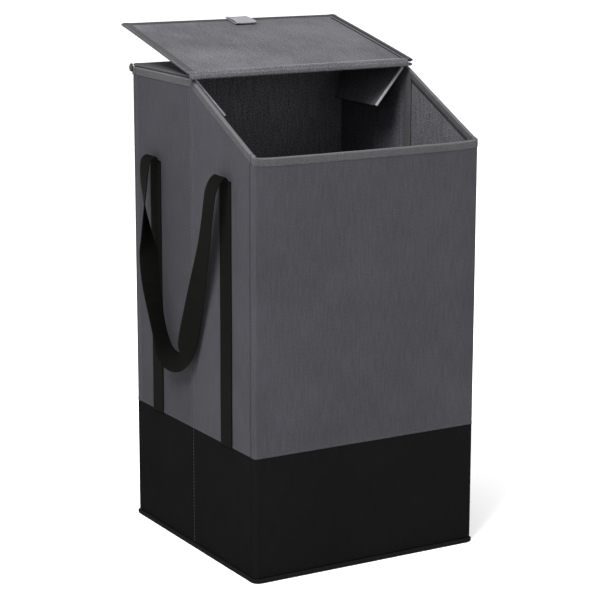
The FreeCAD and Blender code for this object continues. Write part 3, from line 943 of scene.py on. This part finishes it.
def make_rear_hinge_tape():
    """Tape along the back of the top panel, whose two cut ends hang out past the walls."""
    low, high = box("rear_hinge_tape")
    y = (low[1] + high[1]) / 2
    xs = np.linspace(-HALF_WIDTH, HALF_WIDTH, 60)
    rows = np.linspace(0, 1, 8)
    front, back, uv = [], [], []
    for share in rows:
        line = []
        for x in xs:
            z = high[2] - share * (high[2] - low[2]) * 0.85
            frayed = 0.0002 * noise.noise(Vector((x * 300, share * 9, 1)))
            line.append((x, y + 0.0004, z + frayed))
        front.append(line)
        back.append([(x, yy - 0.0007, z) for x, yy, z in line])
        uv.append([(x, share * 0.013) for x in xs])
    half_heights = (0.0050, 0.0058, 0.0060, 0.0058, 0.0052, 0.0043, 0.0024)
    half_depths = (0.0012, 0.0020, 0.0025, 0.0027, 0.0026, 0.0020, 0.0008)
    for side_name, side in SIDES:
        rings = []
        for share, tall, thick in zip(np.linspace(0, 1, 7), half_heights, half_depths):
            centre = np.array([side * (HALF_WIDTH - 0.0005 + 0.0052 * share), y - 0.0005, high[2] - 0.0015])
            rings.append([centre + [0, thick * math.cos(a), tall * math.sin(a)]
                          for a in np.linspace(0, 2 * math.pi, 14, endpoint=False)])
        stub = sweep(f"{side_name}_rear_tape_end", rings, 0.0012, TAPE_END)
        hold(stub, "root", "rim_tape")
    strip = shell("rear_tape", np.array(front), np.array(back), np.array(uv), TAPE)
    hold(strip, "root", "rim_tape", "rear_hinge_tape")


def make_wings():
    for side_name, side in SIDES:
        low, high = box(f"{side_name}_wing_cover")
        joint = joints[f"{side_name}_wing_fold"]["pos_m"]
        root = np.array([joint[0], 0, joint[2]]) + FLAP_SHIFT[side_name]
        droop = math.radians(FLAP_DROOP[side_name])
        down = np.array([-side * math.cos(droop), 0, -math.sin(droop)])
        up = np.array([-side * math.sin(droop), 0, math.cos(droop)])
        front_y = low[1]
        rear_root, rear_tip = high[1] - FLAP_REAR_CLEARANCE, high[1] - FLAP_TIP_SETBACK
        corners = [root + [0, front_y, 0], root + [0, rear_root, 0],
                   root + [0, rear_tip, 0] + down * FLAP_LENGTH,
                   root + [0, front_y, 0] + down * FLAP_LENGTH]
        cover = panel_sheet(f"{side_name}_wing_cloth", corners, (40, 24), up, 0.0002, 0.0028, INSIDE,
                            0.0005, seed=8 + side)
        hold(cover, f"{side_name}_wing", "grey_cloth",
             f"{side_name}_wing_cover", f"{side_name}_wing_board")
        ends = [corners[0] + down * 0.001, corners[3] - down * 0.0002]
        rings = []
        for share in np.linspace(0, 1, 20):
            centre = ends[0] * (1 - share) + ends[1] * share + up * 0.0015
            rings.append([centre + np.array([0, 1.0, 0]) * (0.0024 * math.cos(a) + 0.0021)
                          + up * 0.0019 * math.sin(a)
                          for a in np.linspace(0, 2 * math.pi, 12, endpoint=False)])
        edge = sweep(f"{side_name}_wing_edge", rings, 0.0035, EDGE)
        hold(edge, f"{side_name}_wing", "rim_tape")


def make_bottom():
    proud_x, proud_y = box("bottom_piping")[1][:2]
    height, radius, rings = PIPING_HEIGHT, PIPING_CORNER, []
    plan = []
    for sx, sy, start in ((1, 1, 0), (-1, 1, 90), (-1, -1, 180), (1, -1, 270)):
        plan += corner_arc(sx * (proud_x - radius), sy * (proud_y - radius), radius, start, 9)
    dense = np.array(filled_in(plan + plan[:1], 0.005))
    ahead = unit_rows(np.roll(dense, -1, 0) - np.roll(dense, 1, 0))
    normals = np.stack([ahead[:, 1], -ahead[:, 0]], 1)
    bulb = height / 2 - 0.0002
    for index, (point, normal) in enumerate(zip(dense, normals)):
        swell = 1 + 0.05 * noise.noise(Vector((index * 0.23, 0.4, 1.7)))
        profile = [(-bulb + bulb * math.cos(a), height / 2 + bulb * swell * math.sin(a))
                   for a in np.linspace(-2.3, 2.3, 13)]
        profile += [(-bulb * 1.9, height * 0.82), (-bulb * 2.1, 0.0021),
                    (-PIPING_SEAM_ALLOWANCE, 0.0017), (-PIPING_SEAM_ALLOWANCE, 0.0011),
                    (-bulb * 2.1, 0.0011), (-bulb * 1.9, height * 0.18)]
        rings.append([(*(point + normal * d), max(0.0, h)) for d, h in profile])
    piping = sweep("bottom_edge_piping", rings, 0.005, PIPING, closed=True)
    hold(piping, "root", "black_cloth", "bottom_piping")
    line = np.column_stack([dense + normals * -0.0004, np.full(len(dense), height * 0.78)])
    line = np.vstack([line, line[:1]])
    ways = np.column_stack([normals, np.full(len(dense), 0.4)])
    ways = np.vstack([ways, ways[:1]])
    hold(stitches("piping_stitches", [(line, ways)], BLACK_THREAD), "root", "black_cloth")
    low, high = box("bottom_fabric")
    corners = rectangle(low[0], high[0], low[1], high[1])
    cloth = panel_sheet("bottom_cloth", corners, (50, 50), (0, 0, 1), 0.0002, 0.0010, BLACK, 0.0)
    hold(cloth, "root", "black_cloth", "bottom_fabric")


def make_base_board():
    low, high = box("base_board_cover")
    corners = rectangle(low[0], high[0], low[1], high[1])
    cover = panel_sheet("base_board_cloth", corners, (50, 50), (0, 0, 1), low[2], high[2], INSIDE, 0.0002,
                        seed=4)
    hold(cover, "base_board", "lining_cloth", "base_board_cover", "base_board_core")
    rows = [ring_line(high[0], low[1], high[1], 0.006, high[2], 1, as_it_is)]
    hold(stitches("base_board_stitches", rows, BLACK_THREAD), "base_board", "lining_cloth")


def paint_boards():
    for name, node in frame["nodes"].items():
        if name.endswith(("_stiffener", "_board")):
            for material_slot in node.material_slots:
                material_slot.material = BOARD


# ---------------------------------------------------------- light and camera

def make_stage():
    mesh = bpy.data.meshes.new("floor")
    mesh.from_pydata(rectangle(-FLOOR_REACH, FLOOR_REACH, -FLOOR_REACH, FLOOR_REACH), [], [(0, 1, 2, 3)])
    floor = bpy.data.objects.new("floor", mesh)
    bpy.context.scene.collection.objects.link(floor)
    material, _, surface = shader("floor_paper", 0.9)
    surface.inputs["Base Color"].default_value = (0.96, 0.96, 0.96, 1)
    mesh.materials.append(material)
    world = bpy.data.worlds.new("studio")
    bpy.context.scene.world = world
    world.use_nodes = True
    background = world.node_tree.nodes["Background"]
    background.inputs["Color"].default_value = (1, 1, 1, 1)
    background.inputs["Strength"].default_value = WORLD_STRENGTH
    for name, place, size, power in LAMPS:
        lamp = bpy.data.lights.new(name, "AREA")
        lamp.size, lamp.energy = size, power
        lamp_object = bpy.data.objects.new(name, lamp)
        lamp_object.location = place
        aim = LAMP_TARGET - Vector(place)
        lamp_object.rotation_euler = aim.to_track_quat("-Z", "Y").to_euler()
        bpy.context.scene.collection.objects.link(lamp_object)
    bpy.context.scene.view_settings.view_transform = "Standard"


def make_camera():
    """The camera stands to the front left, a little above the lid."""
    azimuth, elevation = math.radians(CAMERA_AZIMUTH), math.radians(CAMERA_ELEVATION)
    roll = math.radians(CAMERA_ROLL)
    back = Vector((math.sin(azimuth) * math.cos(elevation), -math.cos(azimuth) * math.cos(elevation),
                   math.sin(elevation)))
    right = Vector((math.cos(azimuth), math.sin(azimuth), 0))
    up = back.cross(right)
    right = right * math.cos(roll) + up * math.sin(roll)
    up = back.cross(right)
    camera = bpy.data.objects.new("camera", bpy.data.cameras.new("camera"))
    camera.data.lens, camera.data.sensor_width = CAMERA_LENS, CAMERA_SENSOR
    turned = Matrix((right, up, back)).transposed().to_4x4()
    camera.matrix_world = Matrix.Translation(CAMERA_PLACE) @ turned
    bpy.context.scene.collection.objects.link(camera)
    bpy.context.scene.camera = camera


make_camera()
make_stage()
make_walls()
make_front_board()
make_folds()
make_sewn_straps()
make_handles()
make_lid()
make_lid_hinge()
make_pull_tab()
make_top_panel()
make_rear_hinge_tape()
make_wings()
make_bottom()
make_base_board()
paint_boards()
